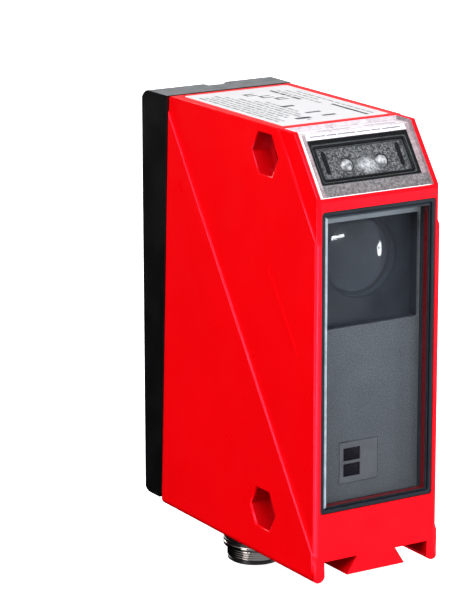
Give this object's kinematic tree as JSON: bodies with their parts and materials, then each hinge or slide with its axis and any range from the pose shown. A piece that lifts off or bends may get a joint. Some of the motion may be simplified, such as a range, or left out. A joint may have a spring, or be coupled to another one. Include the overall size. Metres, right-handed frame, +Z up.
{
  "type": "photoelectric sensor",
  "caption": "Narrow upright optical distance sensor: die-cast housing with front window, sloping indicator window, hinged rear cover over display and keys, dovetail foot and round plug.",
  "frame": {"origin": "middle of the front edge of the underside of the dovetail foot's tongue", "axes": "+Z up the housing, -Y out of the front window along the light beam, +X across the narrow front to the right as the front is faced from outside"},
  "size_m": [0.0306, 0.0676, 0.1013],
  "materials": {
    "housing": "glossy",
    "window_frame": "satin",
    "front_glass": "clear",
    "mask_panel": "fine grain",
    "aperture_insert": "satin",
    "receiver_lens": "polished, coated",
    "optics_black": "matte",
    "barrel_brass": "turned",
    "collimator_lens": "polished",
    "steel": "plated",
    "gold_plate": "polished",
    "filter_glass": "coated",
    "chip_black": "moulded",
    "board_green": "solder mask",
    "clear_window": "clear",
    "seal_rubber": "matte",
    "indicator_plate": "fine grain",
    "lamp_clear": "clear",
    "label_film": "printed film",
    "capacitor": "satin",
    "socket_ivory": "moulded",
    "panel_black": "fine grain",
    "display_window": "polished",
    "display_module": "glass on metal",
    "key_grey": "matte",
    "ribbon": "film",
    "cover_black": "satin",
    "plug_black": "satin",
    "nickel": "nickel plated",
    "lead_wire": "insulated"
  },
  "bodies": {
    "sensor_body": {"housing": "housing", "window_frame": "window_frame", "front_glass": "front_glass", "mask_panel": "mask_panel", "aperture_insert": "aperture_insert", "receiver_lens": "receiver_lens", "lens_ring": "optics_black", "optics_carrier": "optics_black", "carrier_screws": "steel", "emitter_barrel": "barrel_brass", "collimator_lens": "collimator_lens", "laser_diode": "gold_plate", "light_filter": "filter_glass", "receiver_chip": "chip_black", "receiver_board": "board_green", "indicator_window": "clear_window", "indicator_gasket": "seal_rubber", "indicator_plate": "indicator_plate", "power_lamp": "lamp_clear", "signal_lamp": "lamp_clear", "indicator_board": "board_green", "type_label": "label_film", "main_board": "board_green", "board_chips": "chip_black", "board_capacitors": "capacitor", "board_sockets": "socket_ivory", "panel_gasket": "seal_rubber", "control_panel": "panel_black", "panel_screws": "steel", "display_window": "display_window", "display_module": "display_module", "display_board": "board_green", "key_switches": "chip_black", "display_screws": "steel", "ribbon_cable": "ribbon", "hinge_pin": "steel", "plug_collar": "plug_black", "plug_shell": "nickel", "plug_seal": "seal_rubber", "plug_nut": "nickel", "plug_insert": "plug_black", "plug_pins": "gold_plate", "plug_leads": "lead_wire"},
    "cover": {"rear_cover": "cover_black"},
    "up_key": {"key_up": "key_grey"},
    "down_key": {"key_down": "key_grey"},
    "enter_key": {"key_enter": "key_grey"}
  },
  "joints": [
    {"name": "cover_hinge", "type": "hinge", "parent": "sensor_body", "child": "cover", "pos_m": [0, 0.06128, 0.00185], "axis": [-1, 0, 0], "range_deg": [0, 90]},
    {"name": "up_key_press", "type": "slide", "parent": "sensor_body", "child": "up_key", "axis": [0, -0.9992, -0.0411], "range_m": [0, 0.0005], "stiffness_N_per_m": 500, "springref_m": -0.0016},
    {"name": "down_key_press", "type": "slide", "parent": "sensor_body", "child": "down_key", "axis": [0, -0.9992, -0.0411], "range_m": [0, 0.0005], "stiffness_N_per_m": 500, "springref_m": -0.0016},
    {"name": "enter_key_press", "type": "slide", "parent": "sensor_body", "child": "enter_key", "axis": [0, -0.9992, -0.0411], "range_m": [0, 0.0005], "stiffness_N_per_m": 500, "springref_m": -0.0016}
  ]
}
